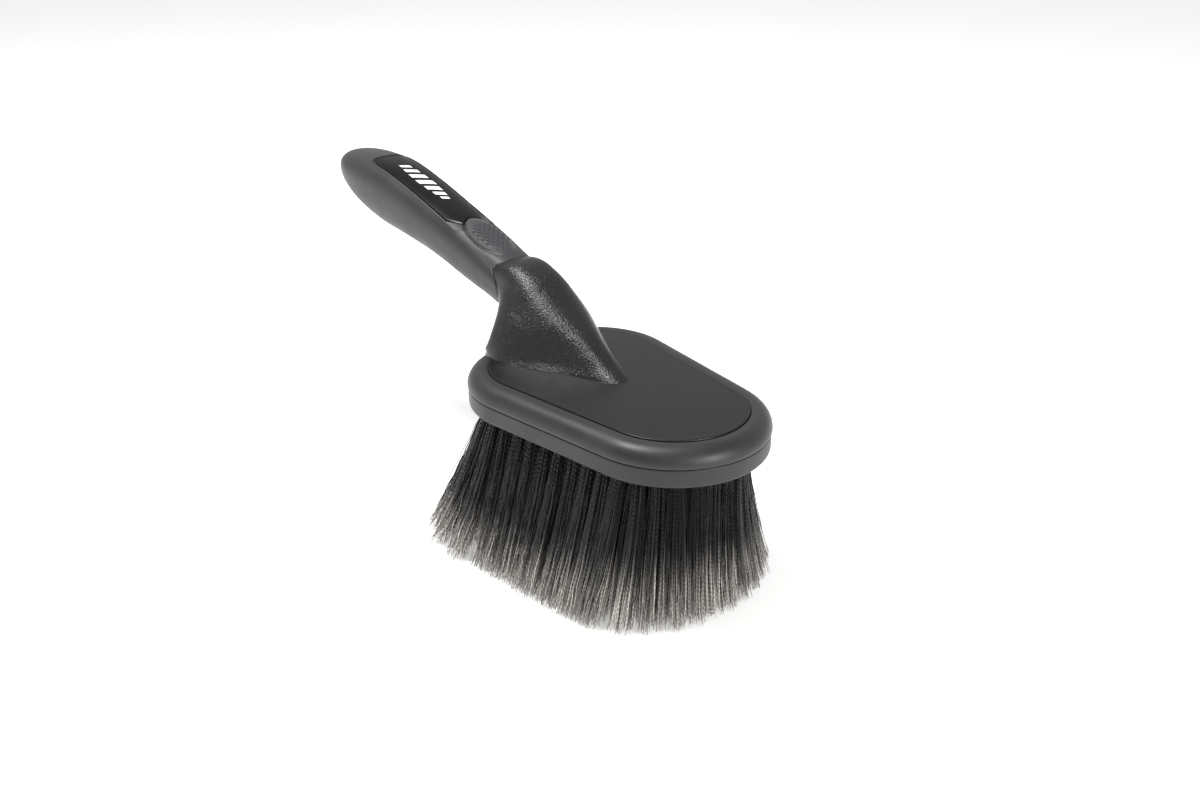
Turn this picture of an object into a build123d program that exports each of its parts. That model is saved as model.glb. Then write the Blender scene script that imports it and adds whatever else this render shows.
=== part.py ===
"""Wheel brush: a hand brush for washing car wheels, with a soft grip, a rubber-edged head and flared bristles.

Millimetres. The origin is on the floor under the middle of the deck, +X points to the brush's front, +Y to
its left and +Z up. The brush stands on its bristle tips, at z = 0.
"""
from build123d import *
import os
from math import cos, pi, radians, sin

os.makedirs("parts", exist_ok=True)

# ---- Driving dimensions ----

# Head, seen from above: the deck is the hull of two front and two rear corner discs.
deck_length = 110.4
front_half_width = 28.2
front_corner_radius = 28.2
rear_half_width = 35.6
rear_corner_radius = 25.2

# Head, from the side. The deck's top is deck_height above the floor.
deck_height = 72.5
head_thickness = 14.6
seam_depth = 7.3  # deck top down to the seam between handle moulding and bristle block
deck_wall = 3.2
deck_proud = 0.4  # deck top above the bumper's top

# Rubber edge of the head, as distances outside the deck's outline.
bumper_reach = 8.3
bumper_radius = 6.3
rim_reach = 3.5  # where the hard plastic ends under the rubber
rim_wall = 4.0
lip_thickness = 2.4  # bumper rubber above the hard rim
skirt_step = 0.3  # the lower rubber ring stands back from the upper one
skirt_radius = 1.5

# Bristle block and its plug, which locates in the pocket under the deck.
plug_clearance = 0.2
block_height = head_thickness - seam_depth
plug_height = seam_depth - deck_wall - plug_clearance

# Tufts. Roots stand in holes of the block, tips reach the floor.
hole_radius = 2.2
hole_depth = 6.3
root_clearance = 0.4
tip_radius = 3.3
tuft_pitch = 7.2
outer_ring_inset = 1.0
ring_spacing = 7.0
ring_count = 4
centre_row_length = 45.0
flare_front = 2.0  # how far the outer tufts' tips lean out over their roots
flare_side = 16.0
flare_rear = 27.0

# Anchors: flat wires driven across each hole's end, over which the fibres are folded.
anchor_thickness = 0.4
anchor_width = 1.6
anchor_bite = 0.4  # how far each end cuts into the hole's wall
anchor_size = (2 * (hole_radius + anchor_bite), anchor_thickness, anchor_width)
tuft_length = 1.15 * deck_height  # before the tips are trimmed level at the floor

# Neck and handle stations, front to rear, in heights above the deck's top.
neck_stations = (  # x, half width at the deck, crest height
    (-1.0, 1.8, 1.4),
    (-5.0, 4.8, 4.0),
    (-11.0, 8.8, 8.2),
    (-20.0, 14.0, 14.2),
    (-31.0, 20.5, 21.0),
    (-44.0, 26.0, 28.0),
    (-57.0, 25.6, 32.6),
    (-70.0, 17.5, 30.0),
)
neck_wall = 3.0
hollow_front = 2  # the hollow runs between these neck stations
hollow_rear = 6
rib_thickness = 2.0
rib_spacing = 15.0
rib_count = 7
neck_rear_foot = -56.0  # the rear wall leans back from here up to the grip
neck_rear_bend = (-4.0, 7.0)  # from the foot, the point where the rear wall starts to lean further back
cut_margin = 30.0  # how far a cutting shape reaches past what it cuts
grip_joint_x = -69.0
grip_tilt = 20.0  # degrees, the joint plane's lean from upright
neck_step = 1.0  # the neck is this much smaller than the grip at their joint

handle_stations = (  # x, half width, underside height, top height, squareness
    (-58.0, 10.8, 9.4, 28.0, 2.6),
    (-74.0, 11.4, 13.0, 32.0, 2.6),
    (-92.0, 12.0, 17.0, 37.4, 2.6),
    (-113.0, 12.8, 21.6, 43.6, 2.6),
    (-134.0, 13.8, 24.6, 49.4, 2.7),
    (-155.0, 14.6, 27.2, 54.4, 2.7),
    (-172.0, 14.4, 31.4, 55.8, 2.6),
    (-184.0, 12.8, 36.4, 54.8, 2.4),
    (-192.0, 9.6, 40.6, 53.0, 2.2),
    (-196.5, 4.6, 44.2, 50.0, 2.0),
)
joint_station = handle_stations[1]
last_full_station = handle_stations[-4]
section_points = 16
grip_thickness = 2.4

# Panel window in the grip, and the thumb pad beside it, seen from above.
panel_rear = -166.0
panel_half_width = 8.8
panel_corner = 4.0
panel_sink = 0.3  # panel surface below the grip's
pad_front = -70.0
pad_length = 30.0
pad_half_width = 7.6
pad_raise = 0.7
pad_gap = 0.4


# ---- Head ----


def head_outline(height, reach=0.0):
    """The head's outline, reach outside the deck's own, in the plane at this height."""
    front_x = deck_length / 2 - front_corner_radius
    rear_x = -(deck_length / 2 - rear_corner_radius)
    front_y = front_half_width - front_corner_radius
    rear_y = rear_half_width - rear_corner_radius
    with BuildSketch(Plane.XY.offset(height)) as outline:
        with Locations((front_x, front_y), (front_x, -front_y)):
            Circle(front_corner_radius + reach)
        with Locations((rear_x, rear_y), (rear_x, -rear_y)):
            Circle(rear_corner_radius + reach)
        make_hull()
    return outline.sketch


seam_height = deck_height - seam_depth
block_bottom = deck_height - head_thickness
rim_height = seam_depth - deck_proud - lip_thickness


def head_ring(height, thickness, reach, rounding, top):
    """One rubber ring of the head, still filled: its outer edge is rounded at the top or at the bottom."""
    with BuildPart() as ring:
        add(head_outline(height, reach))
        extrude(amount=thickness)
        fillet(ring.faces().sort_by(Axis.Z)[-1 if top else 0].outer_wire().edges(), rounding)
    return ring.part


# ---- Neck ----

# Flank of the neck's section, as shares of its half width and of its height: wide at the foot, round at the crest.
neck_flank = ((1.0, 0.0), (0.8, 0.24), (0.63, 0.5), (0.45, 0.76), (0.24, 0.94))


def neck_section(x, half_width, crest, base=0.0):
    """The neck's section at x, from base up to the crest, both above the deck's top."""
    left = [(y * half_width, deck_height + base + z * (crest - base)) for y, z in neck_flank]
    right = [(-y, z) for y, z in reversed(left)]
    with BuildSketch(Plane.YZ.offset(x)) as section:
        with BuildLine():
            Spline(*left, (0, deck_height + crest), *right)
            Line(right[-1], left[0])
        make_face()
    return section.sketch


def neck_rear_cut(foot_x, top_x):
    """Everything behind and below the neck's hollowed rear wall."""
    foot = (foot_x, deck_height)
    bend = (foot_x + neck_rear_bend[0], deck_height + neck_rear_bend[1])
    top = (top_x, deck_height + joint_station[2])
    behind = top_x - cut_margin
    below = deck_height - cut_margin
    with BuildPart() as cut:
        with BuildSketch(Plane.XZ):
            with BuildLine():
                Spline(foot, bend, top)
                Polyline(top, (behind, top[1]), (behind, below), (foot_x, below), foot)
            make_face()
        extrude(amount=rear_half_width + cut_margin, both=True)
    return cut.part


def neck_hollow():
    """The neck's inner space, open under the deck and crossed by stiffening ribs."""
    with BuildPart() as hollow:
        loft(
            [
                neck_section(x, half_width - neck_wall, crest - neck_wall, -deck_wall)
                for x, half_width, crest in neck_stations[hollow_front:hollow_rear]
            ]
        )
        with BuildSketch(Plane.XY.offset(deck_height - deck_wall)) as ribs:
            Rectangle(deck_length, rib_thickness)
            with GridLocations(rib_spacing, 0, rib_count, 1):
                Rectangle(rib_thickness, 2 * rear_half_width)
        extrude(amount=deck_height, mode=Mode.SUBTRACT)
    return hollow.part


# ---- Handle ----


def handle_section(x, half_width, underside, top, squareness, inset=0.0):
    """Closed superellipse section of the grip at x, made smaller all round by inset."""
    wide = half_width - inset
    tall = (top - underside) / 2 - inset
    middle = deck_height + (top + underside) / 2
    power = 2 / squareness

    def point(turn):
        across = abs(cos(turn)) ** power * (1 if cos(turn) > 0 else -1)
        up = abs(sin(turn)) ** power * (1 if sin(turn) > 0 else -1)
        return (wide * across, middle + tall * up)

    with BuildSketch(Plane.YZ.offset(x)) as section:
        with BuildLine():
            Spline(*[point(2 * pi * (i + 0.5) / section_points) for i in range(section_points)], periodic=True)
        make_face()
    return section.sketch


def handle_shape(inset=0.0, stations=handle_stations):
    """The whole grip's outer shape, or a smaller one inside it."""
    with BuildPart() as shape:
        loft([handle_section(*station, inset=inset) for station in stations])
    return shape.part


joint_plane = Plane(
    origin=(grip_joint_x, 0, deck_height + joint_station[3]),
    x_dir=(0, 1, 0),
    z_dir=(cos(radians(grip_tilt)), 0, sin(radians(grip_tilt))),
)

# The plane along the middle of the handle, facing up.
front_middle = sum(joint_station[2:4]) / 2
rear_middle = sum(last_full_station[2:4]) / 2
handle_line = Vector(last_full_station[0] - joint_station[0], 0, rear_middle - front_middle)
middle_plane = Plane(
    origin=(joint_station[0], 0, deck_height + front_middle),
    x_dir=(0, 1, 0),
    z_dir=Vector(0, 1, 0).cross(handle_line),
)

pad_rear = pad_front - pad_length
with BuildSketch() as pad_plan:
    with Locations(((pad_front + pad_rear) / 2, 0)):
        Ellipse(pad_length / 2, pad_half_width)

with BuildSketch() as pad_recess_plan:
    with Locations(((pad_front + pad_rear) / 2, 0)):
        Ellipse(pad_length / 2 + pad_gap, pad_half_width + pad_gap)

with BuildSketch() as panel_plan:
    with Locations(((panel_rear + pad_rear) / 2, 0)):
        RectangleRounded(pad_rear - panel_rear + 2 * panel_corner, 2 * panel_half_width, panel_corner)
    add(pad_recess_plan.sketch, mode=Mode.SUBTRACT)


def over_plan(shape, outline):
    """The upper half of a handle shape, where it lies over an outline drawn in plan."""
    with BuildPart() as piece:
        add(outline)
        extrude(amount=2 * deck_height)
        add(shape, mode=Mode.INTERSECT)
        split(bisect_by=middle_plane, keep=Keep.TOP)
    return piece.part


def cut_at_joint(shape, keep):
    """The side of a shape in front of the joint plane (Keep.TOP) or behind it (Keep.BOTTOM)."""
    with BuildPart() as piece:
        add(shape)
        split(bisect_by=joint_plane, keep=keep)
    return piece.part


grip_shape = handle_shape()
core_shape = handle_shape(grip_thickness, handle_stations[:-1])  # ends short of the grip's closed butt

with BuildPart() as body:
    # Deck plate, with the hard rim that the bumper is moulded round and the pocket for the block's plug.
    add(head_outline(deck_height - deck_wall))
    extrude(amount=deck_wall)
    add(head_outline(seam_height, rim_reach))
    extrude(amount=rim_height)
    add(head_outline(seam_height, rim_reach - rim_wall))
    extrude(amount=seam_depth - deck_wall, mode=Mode.SUBTRACT)
    # Neck, hollowed from below.
    loft([neck_section(*station) for station in neck_stations])
    add(neck_rear_cut(neck_rear_foot, grip_joint_x), mode=Mode.SUBTRACT)
    add(neck_hollow(), mode=Mode.SUBTRACT)
    # Handle core, thicker where it fills the grip's window.
    add(cut_at_joint(handle_shape(neck_step), Keep.TOP))
    add(cut_at_joint(core_shape, Keep.BOTTOM))
    add(over_plan(handle_shape(panel_sink), panel_plan.sketch))

with BuildPart() as thumb_pad:
    add(over_plan(handle_shape(-pad_raise), pad_plan.sketch))
    split(bisect_by=joint_plane, keep=Keep.BOTTOM)
    add(core_shape, mode=Mode.SUBTRACT)

with BuildPart() as grip:
    add(cut_at_joint(grip_shape, Keep.BOTTOM))
    add(body.part, mode=Mode.SUBTRACT)
    add(over_plan(handle_shape(-pad_raise), pad_recess_plan.sketch), mode=Mode.SUBTRACT)
    add(over_plan(handle_shape(-pad_raise), panel_plan.sketch), mode=Mode.SUBTRACT)

with BuildPart() as bumper:
    add(head_ring(seam_height, seam_depth - deck_proud, bumper_reach, bumper_radius, top=True))
    add(head_outline(seam_height, rim_reach))
    extrude(amount=rim_height, mode=Mode.SUBTRACT)
    add(head_outline(seam_height + rim_height))
    extrude(amount=seam_depth, mode=Mode.SUBTRACT)
    add(body.part, mode=Mode.SUBTRACT)

with BuildPart() as skirt:
    add(head_ring(block_bottom, block_height, bumper_reach - skirt_step, skirt_radius, top=False))
    add(head_outline(block_bottom, rim_reach))
    extrude(amount=block_height, mode=Mode.SUBTRACT)


# ---- Bristle block, tufts and anchors ----


def tuft_planes(inset, share):
    """A plane at each root of the ring this far inside the deck's outline: Z runs down the tuft, X along the ring.

    The tips lean out by this share of the flare.
    """
    ring = head_outline(block_bottom, -inset).face().outer_wire()
    count = int(ring.length / tuft_pitch)
    planes = []
    for i in range(count):
        mouth = ring @ (i / count)
        along = ring % (i / count)
        outward = Vector(along.Y, -along.X, 0)
        if outward.dot(Vector(mouth.X, mouth.Y, 0)) < 0:
            outward = outward * -1
        end_flare = flare_front if outward.X > 0 else flare_rear
        flare = share * (flare_side + (end_flare - flare_side) * abs(outward.X))
        tip = Vector(mouth.X, mouth.Y, 0) + outward * flare
        down = (tip - mouth).normalized()
        planes.append(Plane(origin=mouth - down * hole_depth, x_dir=along, z_dir=down))
    return planes


def row_planes(length):
    """The same for the upright tufts of the centre row."""
    count = int(length / tuft_pitch) + 1
    root = block_bottom + hole_depth
    step = length / (count - 1)
    return [Plane(origin=(i * step - length / 2, 0, root), x_dir=(1, 0, 0), z_dir=(0, 0, -1)) for i in range(count)]


rows = {
    f"ring_{i + 1}": tuft_planes(outer_ring_inset + i * ring_spacing, 1 - i / ring_count) for i in range(ring_count)
}
rows["centre_row"] = row_planes(centre_row_length)

from_root = (Align.CENTER, Align.CENTER, Align.MIN)

with BuildPart() as block:
    add(head_outline(block_bottom, rim_reach))
    extrude(amount=block_height)
    add(head_outline(seam_height, rim_reach - rim_wall - plug_clearance))
    extrude(amount=plug_height)

for name, planes in rows.items():
    with BuildPart() as tufts:
        with Locations(*planes):
            Cone(hole_radius - root_clearance, tip_radius, tuft_length, align=from_root)
            Box(*anchor_size, align=from_root, mode=Mode.SUBTRACT)
        split(bisect_by=Plane.XY, keep=Keep.TOP)
    with BuildPart() as anchors:
        with Locations(*planes):
            Box(*anchor_size, align=from_root)
    with BuildPart(mode=Mode.PRIVATE) as holes:
        with Locations(*planes):
            Cylinder(hole_radius, 2 * hole_depth, align=from_root)
            Box(*anchor_size, align=from_root)
    block.part = block.part - holes.part
    tufts.part.label = f"tufts_{name}"
    anchors.part.label = f"anchors_{name}"
    export_step(tufts.part, f"parts/{tufts.part.label}.step")
    export_step(anchors.part, f"parts/{anchors.part.label}.step")
    print(name, len(planes), tufts.part.is_valid, len(tufts.part.solids()))

for name, piece in (
    ("body", body),
    ("grip", grip),
    ("thumb_pad", thumb_pad),
    ("bumper", bumper),
    ("skirt", skirt),
    ("block", block),
):
    piece.part.label = name
    export_step(piece.part, f"parts/{name}.step")
    print(name, piece.part.is_valid, len(piece.part.solids()), round(piece.part.volume))
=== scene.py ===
"""Wheel brush: the looks of a short-handled brush for washing car wheels.

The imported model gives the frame. Every shape here is a numpy surface in millimetres, turned to metres when
it becomes a mesh. +X points to the brush's front, +Z up, and the brush stands on its bristle tips.
"""

from math import cos, pi, radians, sin

import bpy
import numpy as np
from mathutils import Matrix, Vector


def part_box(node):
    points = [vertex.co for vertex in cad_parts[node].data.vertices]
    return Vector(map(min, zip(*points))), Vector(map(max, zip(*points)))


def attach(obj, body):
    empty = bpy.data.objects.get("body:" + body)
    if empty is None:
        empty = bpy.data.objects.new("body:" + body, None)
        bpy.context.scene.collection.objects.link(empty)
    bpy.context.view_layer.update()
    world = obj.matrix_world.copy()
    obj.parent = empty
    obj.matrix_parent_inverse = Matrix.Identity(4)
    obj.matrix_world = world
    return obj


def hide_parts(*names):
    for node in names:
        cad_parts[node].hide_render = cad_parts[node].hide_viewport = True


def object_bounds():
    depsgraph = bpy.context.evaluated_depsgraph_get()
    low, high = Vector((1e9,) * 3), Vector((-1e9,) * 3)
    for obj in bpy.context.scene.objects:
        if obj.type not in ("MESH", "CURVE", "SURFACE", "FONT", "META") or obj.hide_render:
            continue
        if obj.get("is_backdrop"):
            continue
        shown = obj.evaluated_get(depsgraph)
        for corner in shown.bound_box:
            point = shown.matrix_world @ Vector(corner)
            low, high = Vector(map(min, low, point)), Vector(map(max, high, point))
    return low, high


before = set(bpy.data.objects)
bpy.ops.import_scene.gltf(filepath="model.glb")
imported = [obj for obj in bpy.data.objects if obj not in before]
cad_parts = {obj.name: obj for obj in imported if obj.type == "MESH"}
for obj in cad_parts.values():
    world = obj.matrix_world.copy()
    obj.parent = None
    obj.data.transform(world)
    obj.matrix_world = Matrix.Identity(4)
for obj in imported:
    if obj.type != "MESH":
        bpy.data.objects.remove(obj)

bl_info = {
    "name": "Wheel Brush",
    "version": (1, 0, 0),
    "blender": (4, 5, 0),
    "location": "3D View > Sidebar > Wheel Brush",
    "description": "Builds a soft-grip wheel brush round its packed frame",
    "category": "Add Mesh",
}

MM = 0.001


def box_mm(node):
    """The lowest and highest corner of a frame node, in millimetres."""
    low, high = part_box(node)
    return np.array(low) / MM, np.array(high) / MM


def linear(hex_colour):
    """sRGB hex digits to a linear RGBA tuple."""
    srgb = np.array([int(hex_colour[i : i + 2], 16) for i in (0, 2, 4)]) / 255
    rgb = np.where(srgb <= 0.04045, srgb / 12.92, ((srgb + 0.055) / 1.055) ** 2.4)
    return (*[float(c) for c in rgb], 1.0)


BUMPER_LOW, BUMPER_HIGH = box_mm("bumper")
SKIRT_LOW = box_mm("skirt")[0]
DECK_PROUD = 0.4  # the deck's top over the bumper's

# ---- Sizes and colours a user may change ----


class HeadSettings(bpy.types.PropertyGroup):
    """Sizes and colours of the head."""

    deck_length: bpy.props.FloatProperty(
        name="Deck length", description="Length of the visible deck", default=110.4 * MM, unit="LENGTH"
    )
    front_radius: bpy.props.FloatProperty(
        name="Front radius", description="Radius of the deck's round front", default=28.2 * MM, unit="LENGTH"
    )
    rear_half_width: bpy.props.FloatProperty(
        name="Rear half width", description="Half the deck's rear width", default=35.6 * MM, unit="LENGTH"
    )
    rear_radius: bpy.props.FloatProperty(
        name="Rear radius", description="Radius of the deck's rear corners", default=25.2 * MM, unit="LENGTH"
    )
    deck_top: bpy.props.FloatProperty(
        name="Deck top",
        description="Height of the deck over the floor",
        default=(float(BUMPER_HIGH[2]) + DECK_PROUD) * MM,
        unit="LENGTH",
    )
    deck_colour: bpy.props.FloatVectorProperty(
        name="Deck colour", description="Moulded plastic", size=4, subtype="COLOR", default=linear("131213")
    )
    rubber_colour: bpy.props.FloatVectorProperty(
        name="Rubber colour", description="Head's edge", size=4, subtype="COLOR", default=linear("1d1d20")
    )


class HandleSettings(bpy.types.PropertyGroup):
    """Colours of the handle."""

    grip_colour: bpy.props.FloatVectorProperty(
        name="Grip colour", description="Soft grip", size=4, subtype="COLOR", default=linear("1b1a1e")
    )
    pad_colour: bpy.props.FloatVectorProperty(
        name="Pad colour", description="Thumb pad", size=4, subtype="COLOR", default=linear("27262b")
    )
    panel_colour: bpy.props.FloatVectorProperty(
        name="Panel colour", description="Smooth panel", size=4, subtype="COLOR", default=linear("0a0a0b")
    )
    mark_colour: bpy.props.FloatVectorProperty(
        name="Mark colour", description="Printed stripes", size=4, subtype="COLOR", default=linear("f2f2f4")
    )


class BristleSettings(bpy.types.PropertyGroup):
    """Size, colours and seed of the bristle field."""

    fibre_radius: bpy.props.FloatProperty(
        name="Fibre radius", description="Radius of one fibre", default=0.17 * MM, unit="LENGTH", precision=5
    )
    root_colour: bpy.props.FloatVectorProperty(
        name="Root colour", description="Fibre at its root", size=4, subtype="COLOR", default=linear("0b0c0e")
    )
    tip_colour: bpy.props.FloatVectorProperty(
        name="Tip colour", description="Fibre's split tip", size=4, subtype="COLOR", default=linear("c2bcb5")
    )
    seed: bpy.props.IntProperty(name="Seed", description="Seed of every random draw", default=7)


def deck_top_mm():
    """Height of the deck's top over the floor, in mm."""
    return bpy.context.scene.brush_head.deck_top / MM


# ---- Numbers into curves and meshes ----


def curve_through(keys, values, at):
    """A smooth curve through values at keys: a cubic between keys, with slopes from neighbouring chords."""
    keys, values, at = np.asarray(keys, float), np.asarray(values, float), np.asarray(at, float)
    slopes = np.gradient(values, keys, axis=0)
    i = np.clip(np.searchsorted(keys, at, side="right") - 1, 0, len(keys) - 2)
    step = keys[i + 1] - keys[i]
    t = (at - keys[i]) / step
    extra = (None,) * (values.ndim - 1)
    t, step = t[(..., *extra)], step[(..., *extra)]
    start = (2 * t**3 - 3 * t**2 + 1) * values[i] + (t**3 - 2 * t**2 + t) * step * slopes[i]
    end = (3 * t**2 - 2 * t**3) * values[i + 1] + (t**3 - t**2) * step * slopes[i + 1]
    return start + end


def smooth_step(x, low, high):
    """0 below low, 1 above high, and a smooth S between."""
    t = np.clip((x - low) / (high - low), 0, 1)
    return t * t * (3 - 2 * t)


def new_piece(name, vertices, faces, material, slot, *nodes, sharp=35):
    """A smooth-shaded piece from vertices in mm, which rides on the one body and stands for the CAD nodes."""
    mesh = bpy.data.meshes.new(name)
    mesh.from_pydata((vertices * MM).tolist(), [], faces)
    mesh.shade_smooth()
    mesh.set_sharp_from_angle(angle=radians(sharp))
    mesh.materials.append(material)
    piece = bpy.data.objects.new(name, mesh)
    bpy.context.scene.collection.objects.link(piece)
    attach(piece, "root")
    if nodes:
        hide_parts(*nodes)
    return piece


def grid_faces(rows, columns, closed_rows=False, closed_columns=True):
    """Quads of a grid whose vertex (row, column) has index row * columns + column; a left turn faces out."""
    row = np.arange(rows if closed_rows else rows - 1)
    column = np.arange(columns if closed_columns else columns - 1)
    r, c = np.meshgrid(row, column, indexing="ij")
    r2, c2 = (r + 1) % rows, (c + 1) % columns
    quads = np.stack([r * columns + c, r * columns + c2, r2 * columns + c2, r2 * columns + c], -1)
    return quads.reshape(-1, 4).tolist()


def lofted(rings):
    """Vertices and faces of a closed body: rings of points in order, with a pole at each end's middle."""
    rows, columns = rings.shape[:2]
    vertices = np.concatenate([rings.reshape(-1, 3), rings[0].mean(0)[None], rings[-1].mean(0)[None]])
    faces = grid_faces(rows, columns)
    first, last = rows * columns, rows * columns + 1
    nearby = np.arange(columns)
    following = (nearby + 1) % columns
    faces += np.stack([following, nearby, np.full(columns, first)], -1).tolist()
    top = (rows - 1) * columns
    faces += np.stack([top + nearby, top + following, np.full(columns, last)], -1).tolist()
    return vertices, faces


# ---- Head outline ----


def outline(count):
    """Points and outward normals, evenly spaced round the deck's outline, in mm.

    The outline is the hull of corner discs: for each direction of the normal, the point lies on the disc
    that reaches furthest that way.
    """
    head = bpy.context.scene.brush_head
    half_length, front = head.deck_length / 2 / MM, head.front_radius / MM
    rear, rear_half_width = head.rear_radius / MM, head.rear_half_width / MM
    centres = np.array(
        [
            (half_length - front, 0.0),
            (rear - half_length, rear_half_width - rear),
            (rear - half_length, rear - rear_half_width),
        ]
    )
    radii = np.array([front, rear, rear])
    turn = np.linspace(-pi, pi, 4001)
    normal = np.stack([np.cos(turn), np.sin(turn)], -1)
    disc = (normal @ centres.T + radii).argmax(1)
    points = centres[disc] + radii[disc][:, None] * normal
    length = np.concatenate([[0], np.cumsum(np.linalg.norm(np.diff(points, axis=0), axis=1))])
    at = np.linspace(0, length[-1], count, endpoint=False)
    even = np.stack([np.interp(at, length, points[:, k]) for k in (0, 1)], -1)
    angle = np.interp(at, length, turn)
    return even, np.stack([np.cos(angle), np.sin(angle)], -1)


OUTLINE_POINTS = 480


def ring_along_outline(profile, count=OUTLINE_POINTS):
    """A closed ring: the profile's (reach, height) points carried round the head's outline."""
    points, normals = outline(count)
    reach, height = profile[:, 0], profile[:, 1]
    plan = points[:, None, :] + normals[:, None, :] * reach[None, :, None]
    z = np.broadcast_to(height[None, :, None], (count, len(profile), 1))
    return np.concatenate([plan, z], -1)


def arc(centre, radius, start, end, count=10):
    """Points on an arc from one angle to another, in degrees."""
    turn = np.radians(np.linspace(start, end, count))
    return np.array(centre) + radius * np.stack([np.cos(turn), np.sin(turn)], -1)


# ---- Handle shape ----

# Stations from the neck back to the butt: x, half width, underside and top above the deck, squareness.
HANDLE_STATIONS = np.array(
    [
        (-69.0, 12.0, 11.8, 31.8, 2.6),
        (-80.0, 12.3, 14.4, 35.2, 2.6),
        (-92.0, 12.6, 17.2, 38.7, 2.6),
        (-113.0, 13.1, 21.8, 44.5, 2.6),
        (-134.0, 13.9, 24.8, 49.9, 2.7),
        (-155.0, 14.6, 27.2, 54.2, 2.7),
        (-172.0, 14.4, 31.4, 55.0, 2.6),
        (-184.0, 12.9, 36.4, 54.6, 2.4),
        (-192.0, 9.8, 40.8, 53.4, 2.2),
        (-196.4, 5.6, 43.8, 51.4, 2.0),
        (-197.8, 0.0, 47.6, 47.7, 2.0),
    ]
)
PAD_FRONT, PAD_LENGTH, PAD_HALF_WIDTH, PAD_RAISE = -70.0, 30.0, 7.6, 0.9
PANEL_REAR, PANEL_HALF_WIDTH, PANEL_CORNER, PANEL_SINK = -166.0, 8.8, 4.0, 0.3
PAD_MIDDLE = PAD_FRONT - PAD_LENGTH / 2


def superellipse(turn, power):
    """cos and sin of turn, each with its size raised to the power, so that under 1 the corners fill out."""
    c, s = np.cos(turn), np.sin(turn)
    return np.sign(c) * np.abs(c) ** power, np.sign(s) * np.abs(s) ** power


def handle_surface(along, turn, inset=0.0):
    """Points of the handle's skin: a superellipse whose sizes follow the stations; along counts stations."""
    x, half_width, low, high, squareness = np.moveaxis(
        curve_through(np.arange(len(HANDLE_STATIONS)), HANDLE_STATIONS, along), -1, 0
    )
    across, up = superellipse(turn, 2 / squareness)
    y = np.maximum(half_width - inset, 0) * across
    z = (low + high) / 2 + np.maximum((high - low) / 2 - inset, 0) * up
    return np.stack(np.broadcast_arrays(x, y, z + deck_top_mm()), -1)


def handle_top(x, y):
    """Height of the handle's upper skin over a point in plan: the superellipse solved for its height."""
    rows = HANDLE_STATIONS[::-1]
    _, half_width, low, high, squareness = np.moveaxis(curve_through(rows[:, 0], rows, x), -1, 0)
    share = np.clip(np.abs(y) / half_width, 0, 0.999)
    tall = (high - low) / 2 * (1 - share**squareness) ** (1 / squareness)
    return (low + high) / 2 + tall + deck_top_mm()


def pad_distance(x, y):
    """How far a point in plan lies outside the pad's ellipse, in mm, about."""
    half = PAD_LENGTH / 2
    scaled = np.sqrt(((x - PAD_MIDDLE) / half) ** 2 + (y / PAD_HALF_WIDTH) ** 2)
    return (scaled - 1) * PAD_HALF_WIDTH


def panel_distance(x, y):
    """How far a point in plan lies outside the panel's round-cornered rectangle, in mm."""
    front = PAD_FRONT - PAD_LENGTH + 6
    half_length, middle = (front - PANEL_REAR) / 2, (front + PANEL_REAR) / 2
    dx = np.abs(x - middle) - half_length + PANEL_CORNER
    dy = np.abs(y) - PANEL_HALF_WIDTH + PANEL_CORNER
    outside = np.hypot(np.maximum(dx, 0), np.maximum(dy, 0))
    return outside + np.minimum(np.maximum(dx, dy), 0) - PANEL_CORNER


# ---- Materials ----


def add_node(tree, kind, links=(), **settings):
    """Add a shader node. Settings name its properties or input sockets; links are (output, input name)."""
    node = tree.nodes.new(kind)
    for name, value in settings.items():
        if hasattr(node, name):
            setattr(node, name, value)
        else:
            socket = next(s for s in node.inputs if s.name.lower().replace(" ", "_") == name and s.enabled)
            socket.default_value = value
    for output, name in links:
        socket = next(s for s in node.inputs if s.name.lower().replace(" ", "_") == name and s.enabled)
        tree.links.new(output, socket)
    return node


def new_material(name):
    """An empty material with its output node, as (material, node tree, output)."""
    material = bpy.data.materials.new(name)
    material.use_nodes = True
    material.node_tree.nodes.clear()
    return material, material.node_tree, material.node_tree.nodes.new("ShaderNodeOutputMaterial")


CLOUD_MM = 14.0  # width of a cloud in a moulded piece's colour and gloss
CRIMP_MM = 1.7  # length of one wave of the fibres' crimping, in their bump and in their painted glints


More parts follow.
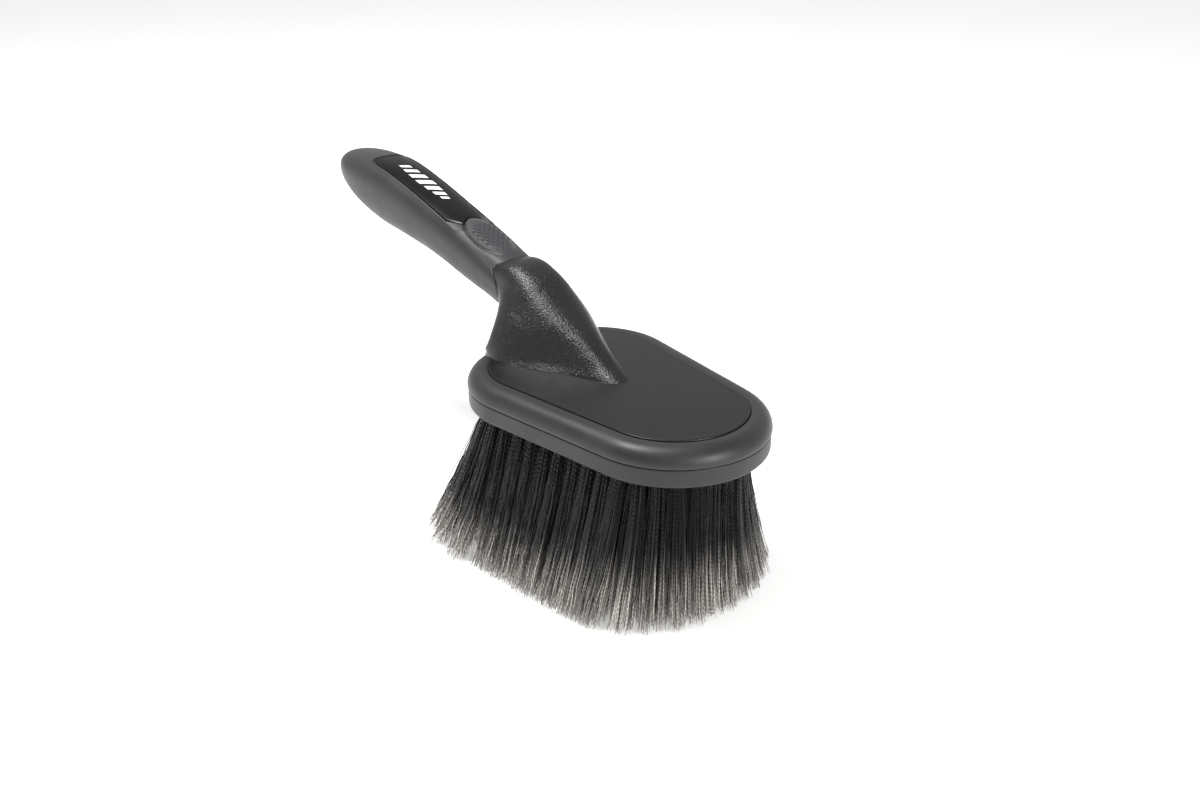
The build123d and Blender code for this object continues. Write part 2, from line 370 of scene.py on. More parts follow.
def moulded(name, dark, light, roughness, grain_mm, grain_depth_mm, worn=0.12, sheen=0.0, specular=0.5):
    """A moulded plastic or rubber with a cloudy colour, patchy gloss and a fine spark-eroded grain.

    dark and light are linear colours. Real mould grain is about 0.15 mm wide; it is drawn coarser to show.
    """
    material, tree, output = new_material(name)
    place = add_node(tree, "ShaderNodeTexCoord").outputs["Object"]
    clouds = add_node(tree, "ShaderNodeTexNoise", [(place, "vector")], scale=1 / (CLOUD_MM * MM), detail=3.0)
    cloudy = add_node(
        tree,
        "ShaderNodeMapRange",
        [(clouds.outputs["Fac"], "value")],
        from_min=0.35,
        from_max=0.65,
        to_min=0.0,
        to_max=1.0,
    )
    colour = add_node(tree, "ShaderNodeMix", [(cloudy.outputs["Result"], "factor")], data_type="RGBA")
    colour.inputs["A"].default_value, colour.inputs["B"].default_value = dark, light
    gloss = add_node(
        tree,
        "ShaderNodeMapRange",
        [(clouds.outputs["Fac"], "value")],
        from_min=0.3,
        from_max=0.7,
        to_min=roughness - worn / 2,
        to_max=roughness + worn / 2,
    )
    grain = add_node(
        tree, "ShaderNodeTexNoise", [(place, "vector")], scale=1 / (grain_mm * MM), detail=2.0, roughness=0.6
    )
    bump = add_node(
        tree,
        "ShaderNodeBump",
        [(grain.outputs["Fac"], "height")],
        distance=grain_depth_mm * MM,
        strength=1.0,
    )
    shader = add_node(
        tree,
        "ShaderNodeBsdfPrincipled",
        [(gloss.outputs["Result"], "roughness"), (bump.outputs["Normal"], "normal")],
        specular_ior_level=specular,
        sheen_weight=sheen,
        sheen_roughness=0.5,
    )
    tree.links.new(colour.outputs["Result"], shader.inputs["Base Color"])
    tree.links.new(shader.outputs["BSDF"], output.inputs["Surface"])
    return material


def split_fibre_material(name, root_colour, tip_colour):
    """Crimped polyester fibre, dyed black and bleached grey towards its split tip.

    The tint attribute holds 0 at the black root and 1 at the grey tip. along holds the distance from the root
    in mm and drives tiny waves that bump the fibre and also lighten and darken its colour in dots, as painted
    glints. shade is each fibre's own brightness.
    """
    material, tree, output = new_material(name)
    tint = add_node(tree, "ShaderNodeAttribute", attribute_name="tint")
    along = add_node(tree, "ShaderNodeAttribute", attribute_name="along")
    shade = add_node(tree, "ShaderNodeAttribute", attribute_name="shade")
    colour = add_node(tree, "ShaderNodeMix", [(tint.outputs["Fac"], "factor")], data_type="RGBA")
    colour.inputs["A"].default_value, colour.inputs["B"].default_value = root_colour, tip_colour
    own = add_node(
        tree,
        "ShaderNodeMapRange",
        [(shade.outputs["Fac"], "value")],
        from_min=0.0,
        from_max=1.0,
        to_min=0.3,
        to_max=1.8,
    )
    turn = add_node(tree, "ShaderNodeMath", [(along.outputs["Fac"], "value")], operation="MULTIPLY")
    turn.inputs[1].default_value = 2 * pi / CRIMP_MM
    phase = add_node(tree, "ShaderNodeMath", operation="MULTIPLY_ADD")
    tree.links.new(shade.outputs["Fac"], phase.inputs[0])
    phase.inputs[1].default_value = 40.0
    tree.links.new(turn.outputs["Value"], phase.inputs[2])
    wave = add_node(tree, "ShaderNodeMath", operation="SINE")
    tree.links.new(phase.outputs["Value"], wave.inputs[0])
    bump = add_node(
        tree, "ShaderNodeBump", [(wave.outputs["Value"], "height")], distance=0.22 * MM, strength=1.0
    )
    # Painted glints: the same wave lightens and darkens the fibre's colour in dots along it, standing in for
    # the highlights its crimping would catch.
    painted_glints = add_node(
        tree,
        "ShaderNodeMapRange",
        [(wave.outputs["Value"], "value")],
        from_min=-1.0,
        from_max=1.0,
        to_min=0.72,
        to_max=1.28,
    )
    # Each fibre's own brightness times the painted glints.
    light = add_node(tree, "ShaderNodeMath", operation="MULTIPLY")
    tree.links.new(own.outputs["Result"], light.inputs[0])
    tree.links.new(painted_glints.outputs["Result"], light.inputs[1])
    shaded = add_node(tree, "ShaderNodeMix", data_type="RGBA", blend_type="MULTIPLY")
    shaded.inputs["Factor"].default_value = 1.0
    tree.links.new(colour.outputs["Result"], shaded.inputs["A"])
    tree.links.new(light.outputs["Value"], shaded.inputs["B"])
    shader = add_node(
        tree,
        "ShaderNodeBsdfPrincipled",
        [(bump.outputs["Normal"], "normal")],
        roughness=0.3,
        specular_ior_level=0.55,
    )
    tree.links.new(shaded.outputs["Result"], shader.inputs["Base Color"])
    tree.links.new(shader.outputs["BSDF"], output.inputs["Surface"])
    return material


# ---- Pieces ----


class BuildDeck(bpy.types.Operator):
    """Make the deck, a slightly crowned plate with a tiny rounded edge."""

    bl_idname = "wheel_brush.deck"
    bl_label = "Deck"

    def execute(self, context):
        """The outline shrinks to its middle line in steps; the height falls as the square of the step."""
        deck_top, count = deck_top_mm(), OUTLINE_POINTS
        depth, edge_radius, crown = 3.0, 0.35, 0.12
        middle_ends = (-28, 24)  # the crown's middle line, along X
        points, normals = outline(count)
        edge = arc((-edge_radius, -edge_radius), edge_radius, 0, 80, 6)
        rings = [np.column_stack([points - normals * depth, np.full(count, deck_top - depth)])]
        rings.append(np.column_stack([points, np.full(count, deck_top - depth)]))
        for reach, height in edge:
            rings.append(np.column_stack([points + normals * reach, np.full(count, deck_top + height)]))
        rim = rings[-1][:, :2]
        middle = np.column_stack([np.clip(points[:, 0], *middle_ends), np.zeros(count)])
        for share in np.linspace(0.04, 1, 24):
            plan = rim * (1 - share) + middle * share
            height = deck_top - crown * (1 - share) ** 2
            rings.append(np.column_stack([plan, np.full(count, height)]))
        vertices, faces = lofted(np.array(rings))
        # Polypropylene from a finely eroded mould: a satin black that picks up broad, soft reflections.
        colour = context.scene.brush_head.deck_colour
        plastic = moulded("deck polypropylene", linear("0e0e0e"), colour, 0.32, 0.45, 0.02, specular=0.42)
        new_piece("deck", vertices, faces, plastic, "polypropylene", "body")
        return {"FINISHED"}


class BuildRubberRings(bpy.types.Operator):
    """Make the head's two rubber rings, the bumper above the seam and the skirt below it."""

    bl_idname = "wheel_brush.rubber_rings"
    bl_label = "Rubber rings"

    def execute(self, context):
        """Each ring is a closed profile carried round the head's outline."""
        head = context.scene.brush_head
        seam, bottom = float(BUMPER_LOW[2]), float(SKIRT_LOW[2])
        top = float(BUMPER_HIGH[2])
        reach = float(BUMPER_HIGH[0]) - head.deck_length / 2 / MM
        bead = 6.2  # radius of the bumper's round top
        edge = 0.35  # radius of the small edges at the seam
        back = 0.3  # the skirt stands this far behind the bumper
        foot = 1.5  # radius of the skirt's lower edge
        # Thermoplastic rubber: a dull dark grey, with a faint bloom that pales its edges.
        dark = linear("17171a")
        rubber = moulded("bumper rubber", dark, head.rubber_colour, 0.46, 0.6, 0.015, sheen=0.08)
        lower = moulded("skirt rubber", linear("151517"), linear("1a1a1c"), 0.5, 0.6, 0.012, sheen=0.05)
        upper_profile = np.concatenate(
            [
                [(0.15, seam + 0.15), (reach - 0.5, seam + 0.15)],
                arc((reach - 0.45, seam + 0.5), edge, -80, 0, 5),
                arc((reach - bead, top - bead), bead, 2, 88, 24),
                arc((0.62, top - 0.4), 0.4, 95, 175, 5),
                [(0.2, top - 2.5)],
            ]
        )
        lower_profile = np.concatenate(
            [
                [(0.15, seam - 0.12), (0.15, bottom + 0.3), (0.8, bottom)],
                arc((reach - back - foot, bottom + foot), foot, -88, 0, 9),
                [(reach - back, seam - 1.2)],
                arc((reach - back - edge, seam - 0.47), edge, 0, 85, 5),
            ]
        )
        for node, profile, material in (("bumper", upper_profile, rubber), ("skirt", lower_profile, lower)):
            ring = ring_along_outline(profile)
            faces = grid_faces(*ring.shape[:2], closed_rows=True)
            new_piece(f"{node}_ring", ring.reshape(-1, 3), faces, material, "soft_rubber", node)
        return {"FINISHED"}


# The neck's loops lie in planes that fan about a line across the deck. Angles run from the deck to the grip.
NECK_PIVOT_X = -58.0
NECK_ANGLES = (0.0, 34.0, 60.0, 85.0, 110.0)
# For each loop, eleven points down the flank, front to rear: radius and half width.
NECK_LOOPS = np.array(
    [
        [
            (58.5, 0), (58.0, 2.3), (56.0, 4.4), (52.0, 6.5), (46.0, 9.0), (38.0, 12.8),
            (27.0, 19.0), (14.0, 24.6), (4.0, 25.0), (0.8, 21.0), (0.6, 0),
        ],
        [
            (34.9, 0), (34.7, 3.2), (33.9, 6.0), (32.2, 8.8), (29.2, 11.6), (25.0, 14.8),
            (19.0, 18.9), (9.0, 24.0), (2.5, 24.0), (0.8, 18.0), (0.7, 0),
        ],
        [
            (31.6, 0), (31.4, 3.6), (30.7, 6.6), (29.2, 9.4), (26.6, 11.8), (23.0, 14.2),
            (18.0, 18.0), (9.0, 22.8), (1.8, 23.2), (0.9, 17.0), (0.8, 0),
        ],
        [
            (32.8, 0), (32.6, 3.8), (31.9, 6.8), (30.4, 9.0), (28.0, 10.8), (24.5, 12.6),
            (19.0, 15.6), (10.5, 19.4), (4.6, 19.0), (3.4, 12.0), (3.2, 0),
        ],
        [
            (32.2, 0), (32.0, 4.2), (31.4, 7.6), (29.8, 9.8), (27.2, 10.9), (24.4, 11.3),
            (21.0, 11.3), (15.6, 10.4), (12.4, 8.0), (11.2, 4.2), (11.0, 0),
        ],
    ]
)
CREST_ANGLES = (0.0, 3.6, 9.1, 19.8, 34.2, 51.8, 78.0, 90.0, 110.0)
CREST_RADII = (58.5, 52.0, 45.8, 38.3, 32.5, 29.8, 30.9, 32.2, 33.2)


class BuildNeck(bpy.types.Operator):
    """Make the neck, a pointed shell that rises from the deck to the grip."""

    bl_idname = "wheel_brush.neck"
    bl_label = "Neck"

    def execute(self, context):
        """Loops in planes that fan about a line; radius and half width run as cubics along and down it."""
        deck_top = deck_top_mm()
        angle = np.concatenate([[-4.0], np.linspace(0, 112, 110)])
        within = np.clip(angle, 0, 110)
        down = np.linspace(0, 10, 81)
        loops = curve_through(NECK_ANGLES, NECK_LOOPS, within)
        flank = curve_through(np.arange(11), np.moveaxis(loops, 1, 0), down)
        radius, half_width = np.moveaxis(flank, 0, 1)[..., 0], np.moveaxis(flank, 0, 1)[..., 1]
        half_width = np.maximum(half_width, 0)
        crest = curve_through(CREST_ANGLES, CREST_RADII, within)
        radius = radius * (crest / radius[:, 0])[:, None]
        half_width[:, [0, -1]] = 0
        turn = np.radians(angle)[:, None]
        x = NECK_PIVOT_X + radius * np.cos(turn)
        z = deck_top + radius * np.sin(turn)
        near = np.stack([x, -half_width, z], -1)
        far = np.stack([x, half_width, z], -1)[:, -2:0:-1]
        rings = np.concatenate([near, far], 1)
        vertices, faces = lofted(rings)
        # Polypropylene from a coarsely spark-eroded mould: a deep black whose highlights break into sparkle.
        dark, light = linear("030304"), linear("070708")
        plastic = moulded("neck polypropylene", dark, light, 0.28, 0.6, 0.26, worn=0.05, specular=0.6)
        new_piece("neck", vertices, faces, plastic, "polypropylene", "body")

        # The collar under the grip's notched front end.
        turn = np.linspace(0, 2 * pi, 160, endpoint=False)
        collar = handle_surface(np.linspace(0, 1.2, 20)[:, None], turn[None, :], 0.4)
        vertices, faces = lofted(collar[:, ::-1])
        new_piece("neck_collar", vertices, faces, plastic, "polypropylene", "body")
        return {"FINISHED"}


# The grip's front end: angle from the crest round to the underside, and how far it stands forward, mm.
FRONT_TURNS = (0.0, 0.5, 0.85, 1.15, 1.5, 2.1, 2.7, pi)
FRONT_LEANS = (1.2, 0.2, -1.6, -0.2, 3.2, 5.0, 4.0, 2.6)


class BuildGrip(bpy.types.Operator):
    """Make the soft grip, with a sunken window for the panel and a rounded front end."""

    bl_idname = "wheel_brush.grip"
    bl_label = "Grip"

    def execute(self, context):
        """A superellipse carried along the handle; where it lies in the window it sinks, with a rolled edge.

        The front end leans back with height, and bulges forward low on each side.
        """
        handle = context.scene.brush_handle
        turn = np.linspace(0, 2 * pi, 240, endpoint=False)
        last = len(HANDLE_STATIONS) - 1
        butt = last - 1 + np.sin(np.linspace(0.05, pi / 2, 16)) * 0.999
        along = np.concatenate([np.linspace(0, last - 1, 330), butt])
        points = handle_surface(along[:, None], turn[None, :])
        low, high = points[:, :, 2].min(1, keepdims=True), points[:, :, 2].max(1, keepdims=True)
        up = (points[:, :, 2] - low) / np.maximum(high - low, 0.1)
        from_top = np.abs((turn - pi / 2 + pi) % (2 * pi) - pi)
        lean = curve_through(FRONT_TURNS, FRONT_LEANS, from_top)
        fade = 1 - smooth_step(-points[:, :, 0], 69, 92)
        points[:, :, 0] += lean[None, :] * fade
        upper = smooth_step(up, 0.5, 0.6)
        window = np.minimum(panel_distance(points[..., 0], points[..., 1]), 60)
        pad = pad_distance(points[..., 0], points[..., 1])
        sunk = (1 - smooth_step(window, -0.3, 0.35)) * smooth_step(pad, -0.6, 0.0) * 0.9
        lip = 0.2 * np.exp(-(((window - 0.7) / 0.5) ** 2)) * smooth_step(pad, 0.6, 2.0)
        groove = 0.45 * np.exp(-(((pad - 0.2) / 0.35) ** 2)) * (points[..., 0] < -72)
        points[..., 2] += upper * (lip - sunk - groove)
        insets = (5.0, 1.1, 0.35)  # three rings close the front end with a rounded edge
        front = np.zeros((1, 1))
        closing = np.concatenate([handle_surface(front, turn[None, :], inset) for inset in insets])
        closing[..., 0] = points[:1, :, 0] + np.array([[0.9], [0.9], [0.6]])
        rings = np.concatenate([closing, points])[:, ::-1]
        vertices, faces = lofted(rings)
        # Soft overmoulded elastomer: a smooth satin that pales where it turns away.
        dark = linear("161518")
        light = handle.grip_colour
        rubber = moulded("grip elastomer", dark, light, 0.48, 0.5, 0.02, sheen=0.12, specular=0.55)
        new_piece("grip_skin", vertices, faces, rubber, "soft_grip", "grip")
        return {"FINISHED"}


def draped(distance, x_range, half_width, lift, skirt=0.7):
    """Vertices and faces of a closed patch on the handle where distance(x, y) < 0, lift mm over its skin.

    A polar grid runs from the patch's middle to its edge, found along each ray by bisection, then down.
    """
    middle = sum(x_range) / 2
    turn = np.linspace(0, 2 * pi, 260, endpoint=False)
    reach = np.array([abs(x_range[1] - x_range[0]) / 2 + 4, half_width + 4])
    ray = np.stack([np.cos(turn) * reach[0], np.sin(turn) * reach[1]], -1)
    inside, outside = np.zeros(len(turn)), np.ones(len(turn))
    for _ in range(30):
        trial = (inside + outside) / 2
        within = distance(middle + ray[:, 0] * trial, ray[:, 1] * trial) < 0
        inside, outside = np.where(within, trial, inside), np.where(within, outside, trial)
    share = np.linspace(0.02, 1, 60)
    plan = ray[None] * inside[None, :, None] * share[:, None, None]
    x, y = middle + plan[..., 0], plan[..., 1]
    rounding = 0.25 * np.clip((share[:, None] - 0.97) / 0.03, 0, 1) ** 2
    top = np.stack([x, y, handle_top(x, y) + lift(x, y) - rounding], -1)
    low = top[-1:].copy()
    low[..., 2] -= skirt
    floor = low.copy()
    floor[..., 0] = middle + (low[..., 0] - middle) * 0.05
    floor[..., 1] *= 0.05
    floor[..., 2] = low[..., 2].min()
    return lofted(np.concatenate([floor, low, top[::-1]]))


class BuildPad(bpy.types.Operator):
    """Make the raised thumb pad with its staggered rows of small bumps."""

    bl_idname = "wheel_brush.pad"
    bl_label = "Thumb pad"

    def execute(self, context):
        """Bumps are the high parts of a product of two cosines of plan distance, fading at the pad's ends."""

        def lift(x, y):
            waves = np.cos(pi * x / 1.6) * np.cos(pi * y / 1.3)
            bumps = smooth_step(waves, 0.1, 0.7) * 0.55
            fade = smooth_step(-pad_distance(x, y), 0.9, 1.8) * smooth_step(x, -95, -92)
            swell = smooth_step(-pad_distance(x, y), 0, 2.5) * (PAD_RAISE - 0.2)
            return 0.2 + swell + bumps * fade

        vertices, faces = draped(
            lambda x, y: pad_distance(x, y) + 0.25, (PAD_FRONT - PAD_LENGTH, PAD_FRONT), PAD_HALF_WIDTH, lift
        )
        # The same elastomer, duller and greyer where the thumb rubs it.
        dark, light = linear("201f24"), context.scene.brush_handle.pad_colour
        rubber = moulded("pad elastomer", dark, light, 0.58, 0.5, 0.02, sheen=0.2)
        new_piece("pad_skin", vertices, faces, rubber, "soft_pad", "thumb_pad")
        return {"FINISHED"}


class BuildPanel(bpy.types.Operator):
    """Make the smooth panel in the grip's window and the stripes printed on it."""

    bl_idname = "wheel_brush.panel"
    bl_label = "Panel"

    def execute(self, context):
        """The panel drapes over the handle just below its skin; each stripe is a bar just above the panel."""
        handle = context.scene.brush_handle

        def outside(x, y):
            return np.maximum(panel_distance(x, y) + 0.2, 0.35 - pad_distance(x, y))

        def sunk(x, y):
            return -PANEL_SINK + 0 * x

        x_range = (PANEL_REAR, PAD_FRONT - PAD_LENGTH)
        vertices, faces = draped(outside, x_range, PANEL_HALF_WIDTH, sunk, skirt=1.0)
        # Polypropylene from a polished mould: the smoothest and blackest surface of the brush.
        dark, light = linear("060607"), handle.panel_colour
        plastic = moulded("panel polypropylene", dark, light, 0.3, 0.5, 0.004, worn=0.06, specular=0.2)
        new_piece("panel", vertices, faces, plastic, "polypropylene", "body")

        # A pad-printed ornament: leaning bars that grow and shrink, with no letters in it.
        ink = moulded("white ink", linear("e6e6ea"), handle.mark_colour, 0.45, 0.4, 0.004)
        starts = np.array([-151.0, -146.2, -141.0, -135.2, -129.2, -123.8, -119.4])
        widths = np.array([2.4, 2.8, 3.3, 3.7, 3.3, 2.6, 1.8])
        heights = np.array([2.2, 2.8, 3.2, 3.4, 3.0, 2.4, 1.6])
        rows, columns = 14, 6
        size = rows * columns
        across, length = np.meshgrid(np.linspace(-1, 1, rows), np.linspace(0, 1, columns), indexing="ij")
        flat = np.array(grid_faces(rows, columns, closed_columns=False))
        border = np.concatenate(
            [
                np.arange(0, columns - 1),
                np.arange(columns - 1, size - 1, columns),
                np.arange(size - 1, size - columns, -1),
                np.arange(size - columns, 0, -columns),
            ]
        )
        following = np.roll(border, -1)
        vertices, faces = [], []
        for start, width, tall in zip(starts, widths, heights):
            y = across * tall
            x = start + length * width + 0.45 * y
            top = np.stack([x, y, handle_top(x, y) - PANEL_SINK + 0.06], -1)
            under = top.copy()
            under[..., 2] -= 0.12
            offset = sum(len(v) for v in vertices)
            upper = flat + offset
            lower = upper[:, ::-1] + size
            wall = np.stack([border, following, following + size, border + size], -1) + offset
            vertices += [top.reshape(-1, 3), under.reshape(-1, 3)]
            faces += upper[:, ::-1].tolist() + lower[:, ::-1].tolist() + wall[:, ::-1].tolist()
        new_piece("panel_stripes", np.concatenate(vertices), faces, ink, "polypropylene")
        return {"FINISHED"}


FIBRES_PER_TUFT = {"ring_1": 130, "ring_2": 95, "ring_3": 62, "ring_4": 50, "centre_row": 50}
# A row is split into several meshes, so that each one stays light.
MESHES_PER_ROW = {"ring_1": 4, "ring_2": 2, "ring_3": 2, "ring_4": 1, "centre_row": 1}
ANCHOR_CORNERS = 24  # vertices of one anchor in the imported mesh, one after another
ROWS_PER_FIBRE = 12
BUNDLE_RADIUS = 4.6  # how far a tuft's fibres spread at the floor
SET_FROM_USE = (0.9, -2.0, 0.0)  # the whole field leans a little to one side
RIM_LIFT = {"ring_1": 1.6, "ring_2": 0.8}  # how far the outer tips may stand off the floor
INNER_LIFT = 0.4


class BuildBristles(bpy.types.Operator):
    """Make the bristle field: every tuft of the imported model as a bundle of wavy, split-tipped fibres."""

    bl_idname = "wheel_brush.bristles"
    bl_label = "Bristles"

    def execute(self, context):
        """A fibre's centre line runs from its tuft's root to the floor, spreads with distance and waves gently.

        Its section is a triangle whose radius narrows near the tip. Root places and directions come from the
        packed anchors: the mean and the principal axes of each anchor's corners.
        """
        settings = context.scene.brush_bristles
        random = np.random.default_rng(settings.seed)
        fibre = split_fibre_material("crimped polyester", settings.root_colour, settings.tip_colour)
        for row, per_tuft in FIBRES_PER_TUFT.items():
            parts = MESHES_PER_ROW[row]
            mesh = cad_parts[f"anchors_{row}"].data
            corners = np.zeros(len(mesh.vertices) * 3)
            mesh.vertices.foreach_get("co", corners)
            groups = corners.reshape(-1, ANCHOR_CORNERS, 3) / MM
            roots = np.array([g.mean(0) for g in groups])
            axes = np.array([np.linalg.svd(np.unique(g.round(4), axis=0) - g.mean(0))[2] for g in groups])
            ring_way, down, across = axes[:, 0], axes[:, 1], axes[:, 2]
            down *= -np.sign(down[:, 2:3])
            across *= np.sign((across * roots).sum(1, keepdims=True) + 1e-9)
            for part, chosen in enumerate(np.array_split(np.arange(len(roots)), parts)):
                name = f"fibres_{row}" + (f"_{part + 1}" if parts > 1 else "")
                args = (roots[chosen], ring_way[chosen], across[chosen], down[chosen], per_tuft, row, random)
                vertices, faces, attributes = fibres(settings, *args)
                piece = new_piece(name, vertices, faces, fibre, "bristle", f"tufts_{row}", sharp=180)
                for key, values in attributes.items():
                    layer = piece.data.attributes.new(key, "FLOAT", "POINT")
                    layer.data.foreach_set("value", values.astype(np.float32))
        return {"FINISHED"}


def fibres(settings, roots, ring_way, across, down, per_tuft, row, random):
    """Vertices, faces and attributes of bundles of fibres that run from their roots to the floor.

    Each fibre starts and ends at its own place on a disc. Its line is straight between the two, plus a bow
    that is widest halfway, plus two sine waves that grow with distance.
    """
    tufts, count = len(roots), len(roots) * per_tuft
    own = np.repeat(np.arange(tufts), per_tuft)
    root, axis, side, out = (v[own] for v in (roots, down, ring_way, across))
    # Where each fibre starts in its hole and where it ends in the bundle's brush, both on a disc.
    spread = np.sqrt(random.random(count))
    turn = random.random(count) * 2 * pi
    disc = np.stack([spread * np.cos(turn), spread * np.sin(turn)], -1)
    outermost = row == "ring_1"
    tip_across = disc[:, 0] * BUNDLE_RADIUS + random.normal(0, 0.4, count)
    tip_out = disc[:, 1] * BUNDLE_RADIUS + random.normal(0, 0.5, count)
    stray = random.random(count) < 0.012
    tip_across *= 1 + 0.4 * smooth_step(-out[:, 0], 0, 0.8)
    tip_across += np.where(stray, random.normal(0, 1.3, count), 0)
    tip_out += np.where(stray & outermost, random.random(count) * 1.4, 0)
    # The front tufts stand a little steeper than their axes, and the side ones lean out further.
    front = smooth_step(out[:, 0], 0.2, 0.8) * outermost
    tip_out += outermost * (1.2 * np.abs(out[:, 1]) - 1.2 * front - smooth_step(-out[:, 0], 0.2, 0.8))
    reach = -root[:, 2] / axis[:, 2]
    trim = np.abs(random.normal(0, 0.7, count))
    trim += np.where(random.random(count) < 0.2, random.random(count) * 3.5, 0)
    end = root + axis * reach[:, None] + side * tip_across[:, None] + out * tip_out[:, None]
    end += np.array(SET_FROM_USE)
    end += axis * ((0.15 - end[:, 2]) / axis[:, 2])[:, None]
    trim += RIM_LIFT.get(row, INNER_LIFT) * random.random(count)
    end -= axis * trim[:, None]
    start = root + side * (disc[:, :1] * 1.9) + out * (disc[:, 1:] * 1.7 - 1.3 * front[:, None])
    rows = ROWS_PER_FIBRE
    t = np.linspace(0, 1, rows)[None, :, None]
    line = start[:, None] * (1 - t) + end[:, None] * t
    # Fibres leave the hole along the tuft, and flare out more towards the floor.
    inward = -1.5 if outermost else -0.5
    bow = (out * random.normal(inward, 0.5, (count, 1)) + side * random.normal(0, 0.8, (count, 1)))[:, None]
    line = line + bow * (4 * t * (1 - t)) + (side * disc[:, :1] * 3.0)[:, None] * (t**0.6 - t)
    length = np.linalg.norm(end - start, axis=1)[:, None]
    wave_length = random.normal(13, 2, (count, 1))
    phase = random.random((count, 2)) * 2 * pi
    waviness = 0.3 * smooth_step(-root[:, :1], -40, 10) + 0.12
    distance = length * t[..., 0]
    for way, which in ((side, 0), (out, 1)):
        wave = np.sin(2 * pi * distance / wave_length + phase[:, which : which + 1]) * waviness * t[..., 0]
        line = line + wave[..., None] * way[:, None]
    narrowing = 1 - 0.45 * smooth_step(t[..., 0], 0.75, 1.0)
    radius = settings.fibre_radius / MM * narrowing * np.ones_like(distance)
    turn = np.arange(3) * 2 * pi / 3
    around = side[:, None] * np.cos(turn)[None, :, None] + out[:, None] * np.sin(turn)[None, :, None]
    vertices = line[:, :, None] + around[:, None] * radius[..., None, None]
    vertices[..., 2] = np.maximum(vertices[..., 2], 0.05)
    first = np.arange(count)[:, None] * rows * 3
    quads = (np.array(grid_faces(rows, 3)).reshape(1, -1, 4)[..., ::-1] + first[..., None]).reshape(-1, 4)
    caps = np.array([[0, 1, 2], [rows * 3 - 1, rows * 3 - 2, rows * 3 - 3]])[None] + first[..., None]
    faces = quads.tolist() + caps.reshape(-1, 3).tolist()
    # The bleached length varies from fibre to fibre, and is longest at the front.
    ends = 0.12 * smooth_step(root[:, :1], -5, 40) + 0.05 * smooth_step(-root[:, :1], 20, 50)
    bleached = 0.22 + 0.05 * random.normal(0, 1, (count, 1)) + ends
    tint = smooth_step(t[..., 0], 1 - bleached - 0.12, 1 - bleached * 0.25) ** 1.1
    tint *= random.choice([1.0, 0.7, 0.35, 0.08], (count, 1), p=[0.36, 0.22, 0.22, 0.20])
    tint = np.maximum(tint, 0.6 * smooth_step(t[..., 0], 0.9, 1.0))
    shade = np.repeat(random.random((count, 1)), rows, 1)
    attributes = {
        "tint": np.repeat(tint, 3, 1).ravel(),
        "along": np.repeat(distance, 3, 1).ravel(),
        "shade": np.repeat(shade, 3, 1).ravel(),
    }
    return vertices.reshape(-1, 3), faces, attributes


# Softboxes: place, aim and size in metres, and power in watts.
SOFTBOXES = (
    ((-0.3, -0.22, 1.05), (-0.03, 0, 0.08), 0.34, 11.0),
    ((0.9, 0.05, 0.4), (0.03, 0, 0.07), 0.45, 6.0),
    ((-0.8, -0.9, 0.2), (-0.12, 0, 0.1), 0.8, 1.2),
)
CAMERA_PLACE = (0.3239, -0.2773, 0.2623)  # metres
CAMERA_YAW, CAMERA_PITCH = radians(140.63), radians(-24.82)
CAMERA_LENS_MM = 37.2


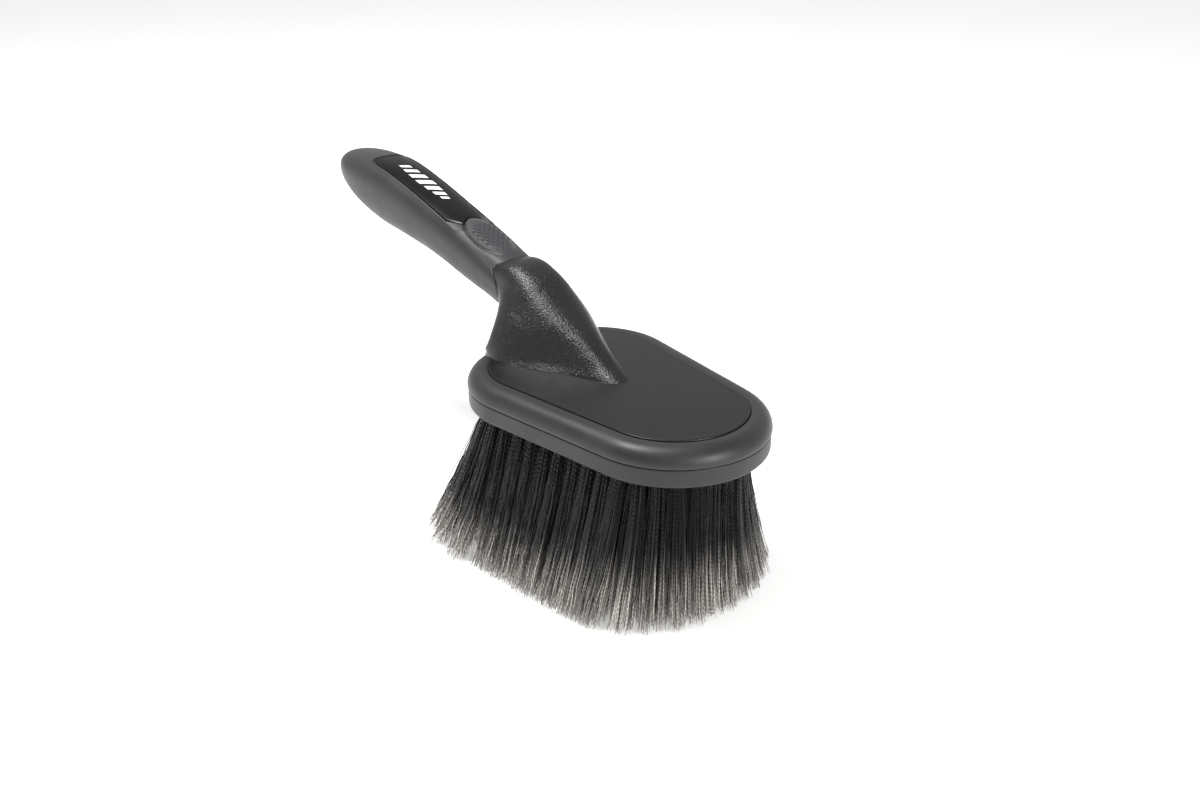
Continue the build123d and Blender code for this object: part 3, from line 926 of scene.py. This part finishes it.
class BuildStage(bpy.types.Operator):
    """Make the pale floor, the soft studio light and the camera, and give the CAD parts their looks."""

    bl_idname = "wheel_brush.stage"
    bl_label = "Stage"

    def execute(self, context):
        """A white sheet, a bright sky and three softboxes, seen from above at the brush's front, -Y side."""
        scene = context.scene
        # Plain moulded polypropylene, and drawn steel wire with a bright, slightly streaky shine.
        block = moulded("block polypropylene", linear("161617"), linear("1b1b1c"), 0.5, 0.5, 0.02)
        wire = moulded("anchor wire", linear("8a8a8c"), linear("98989a"), 0.35, 0.3, 0.003)
        wire.node_tree.nodes["Principled BSDF"].inputs["Metallic"].default_value = 1.0
        for name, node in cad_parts.items():
            node.data.materials.clear()
            node.data.materials.append(wire if name.startswith("anchors") else block)

        bpy.ops.mesh.primitive_plane_add(size=14, location=(0, 0, 0))
        floor = context.object
        floor.name = "floor"
        # Thin white paper on a lit table.
        material, tree, output = new_material("white paper")
        fibres_seen = add_node(tree, "ShaderNodeTexNoise", scale=900.0, detail=2.0)
        bump = add_node(
            tree,
            "ShaderNodeBump",
            [(fibres_seen.outputs["Fac"], "height")],
            distance=0.02 * MM,
            strength=0.3,
        )
        shader = add_node(
            tree,
            "ShaderNodeBsdfPrincipled",
            [(bump.outputs["Normal"], "normal")],
            base_color=linear("fbfbfa"),
            roughness=0.9,
            emission_color=linear("ffffff"),
            emission_strength=0.34,
        )
        tree.links.new(shader.outputs["BSDF"], output.inputs["Surface"])
        floor.data.materials.append(material)
        floor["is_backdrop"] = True

        world = bpy.data.worlds.new("studio")
        scene.world = world
        world.use_nodes = True
        sky = world.node_tree.nodes["Background"]
        sky.inputs["Color"].default_value = linear("ffffff")
        sky.inputs["Strength"].default_value = 0.52
        for i, (place, aim, size, power) in enumerate(SOFTBOXES):
            lamp = bpy.data.lights.new(f"softbox_{i + 1}", "AREA")
            lamp.shape, lamp.size, lamp.energy = "DISK", size, power
            lamp_object = bpy.data.objects.new(lamp.name, lamp)
            lamp_object.location = place
            lamp_object.rotation_euler = (Vector(aim) - Vector(place)).to_track_quat("-Z", "Y").to_euler()
            scene.collection.objects.link(lamp_object)

        camera = bpy.data.cameras.new("camera")
        camera.lens, camera.sensor_width, camera.clip_start = CAMERA_LENS_MM, 36.0, 0.01
        viewer = bpy.data.objects.new("camera", camera)
        level = cos(CAMERA_PITCH)
        forward = Vector((level * cos(CAMERA_YAW), level * sin(CAMERA_YAW), sin(CAMERA_PITCH)))
        viewer.location = CAMERA_PLACE
        viewer.rotation_euler = forward.to_track_quat("-Z", "Y").to_euler()
        scene.collection.objects.link(viewer)
        scene.camera = viewer
        scene.view_settings.view_transform = "Standard"
        return {"FINISHED"}


# ---- Add-on ----


class WheelBrushPanel(bpy.types.Panel):
    """Sizes, colours and build steps of the wheel brush."""

    bl_idname = "VIEW3D_PT_wheel_brush"
    bl_label = "Wheel Brush"
    bl_space_type = "VIEW_3D"
    bl_region_type = "UI"
    bl_category = "Wheel Brush"

    def draw(self, context):
        """One row per setting, then one button per step."""
        for settings in (context.scene.brush_head, context.scene.brush_handle, context.scene.brush_bristles):
            for name in settings.bl_rna.properties.keys():
                if name not in ("rna_type", "name"):
                    self.layout.prop(settings, name)
        for step in STEPS:
            self.layout.operator(step.bl_idname)


SETTINGS = {"brush_head": HeadSettings, "brush_handle": HandleSettings, "brush_bristles": BristleSettings}
STEPS = (
    BuildStage,
    BuildDeck,
    BuildRubberRings,
    BuildNeck,
    BuildGrip,
    BuildPad,
    BuildPanel,
    BuildBristles,
)


def register():
    """Register the settings, the steps and the sidebar panel."""
    for name, group in SETTINGS.items():
        bpy.utils.register_class(group)
        setattr(bpy.types.Scene, name, bpy.props.PointerProperty(type=group))
    for step in (*STEPS, WheelBrushPanel):
        bpy.utils.register_class(step)


def unregister():
    """Undo register()."""
    for step in reversed((*STEPS, WheelBrushPanel)):
        bpy.utils.unregister_class(step)
    for name, group in SETTINGS.items():
        delattr(bpy.types.Scene, name)
        bpy.utils.unregister_class(group)


def corners():
    """The shown object's lowest and highest corner, as lists."""
    return [list(corner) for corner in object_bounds()]


def main():
    """Register the add-on, then run every step in order."""
    register()
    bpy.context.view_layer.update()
    for step in STEPS:
        group, name = step.bl_idname.split(".")
        getattr(getattr(bpy.ops, group), name)()


if __name__ == "__main__":
    main()
